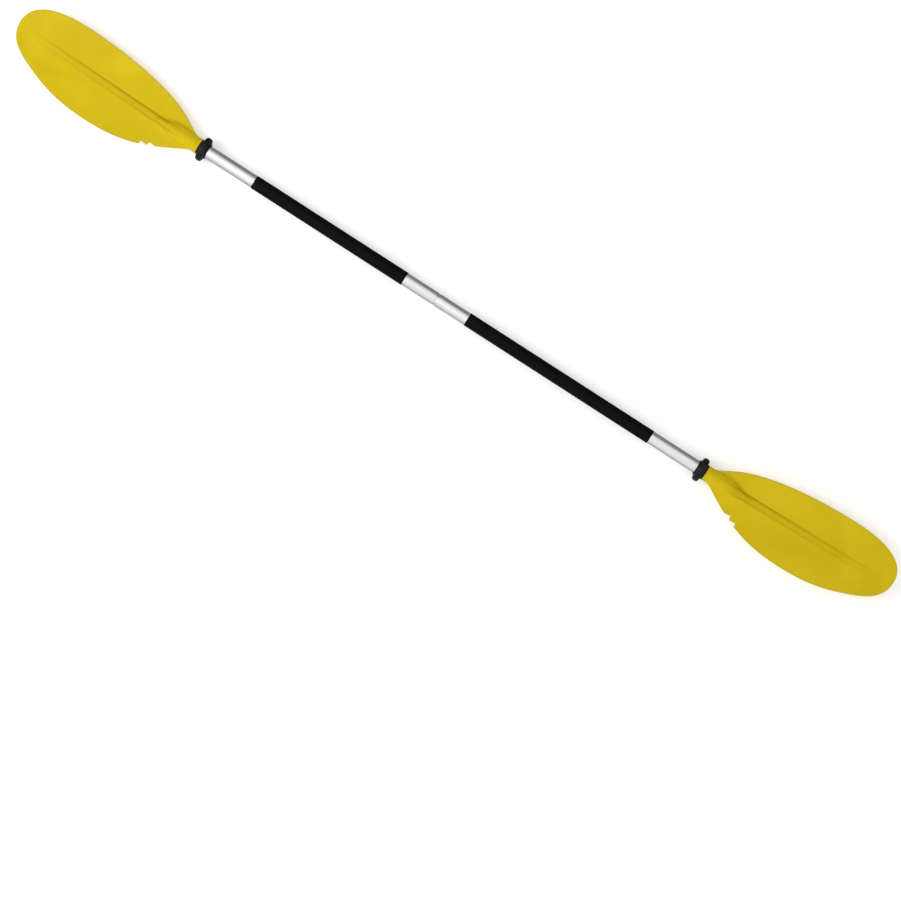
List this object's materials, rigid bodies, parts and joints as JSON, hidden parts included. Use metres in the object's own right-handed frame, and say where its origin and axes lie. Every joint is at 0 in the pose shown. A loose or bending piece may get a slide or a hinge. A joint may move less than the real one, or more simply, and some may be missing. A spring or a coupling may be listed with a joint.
{
  "type": "kayak paddle",
  "caption": "Two-piece kayak paddle: mirrored asymmetric blades with a spine, on a take-apart aluminium shaft with a snap-button lock.",
  "frame": {"origin": "on the shaft's axis, half way between the two blade tips", "axes": "+X along the shaft towards the half with the lock holes, +Z out of the blades' power faces, -Y towards the edges with the line notches"},
  "size_m": [2.2, 0.1689, 0.0544],
  "materials": {
    "blade_plastic": "glossy moulded yellow polypropylene, slightly translucent at the edges",
    "shaft_aluminium": "satin anodised, drawn lengthwise",
    "grip_foam": "matte black foam rubber sleeve",
    "ring_rubber": "black moulded rubber",
    "lock_steel": "stainless spring steel",
    "rivet_metal": "plain blind rivets",
    "rivet_steel": "zinc-plated mandrels",
    "bung_foam": "closed-cell foam"
  },
  "bodies": {
    "right_half": {"right_tube": "shaft_aluminium", "right_blade": "blade_plastic", "right_grip": "grip_foam", "right_joint_bung": "bung_foam", "right_rivet_1": "rivet_metal", "right_rivet_2": "rivet_metal", "right_mandrel_1": "rivet_steel", "right_mandrel_2": "rivet_steel"},
    "joint_core": {"left_joint_bung": "bung_foam"},
    "left_half": {"left_tube": "shaft_aluminium", "left_blade": "blade_plastic", "left_grip": "grip_foam", "spring_clip": "lock_steel", "left_rivet_1": "rivet_metal", "left_rivet_2": "rivet_metal", "left_mandrel_1": "rivet_steel", "left_mandrel_2": "rivet_steel"},
    "button": {"lock_button": "lock_steel"},
    "left_ring": {"left_drip_ring": "ring_rubber"},
    "right_ring": {"right_drip_ring": "ring_rubber"}
  },
  "joints": [
    {"name": "pull_apart", "type": "slide", "parent": "right_half", "child": "joint_core", "axis": [-1, 0, 0], "range_m": [0, 0.12], "deforming": ["lock_button"]},
    {"name": "feather_turn", "type": "hinge", "parent": "joint_core", "child": "left_half", "pos_m": [-0.002, 0, 0], "axis": [1, 0, 0], "range_deg": [-60, 60], "deforming": ["lock_button"]},
    {"name": "button_press", "type": "slide", "parent": "left_half", "child": "button", "axis": [0, 0, 1], "range_m": [0, 0.0042], "stiffness_N_per_m": 800, "springref_m": -0.003, "deforming": ["spring_clip"]},
    {"name": "left_ring_slide", "type": "slide", "parent": "left_half", "child": "left_ring", "axis": [1, 0, 0], "range_m": [0, 0.11]},
    {"name": "right_ring_slide", "type": "slide", "parent": "right_half", "child": "right_ring", "axis": [-1, 0, 0], "range_m": [0, 0.11]}
  ]
}
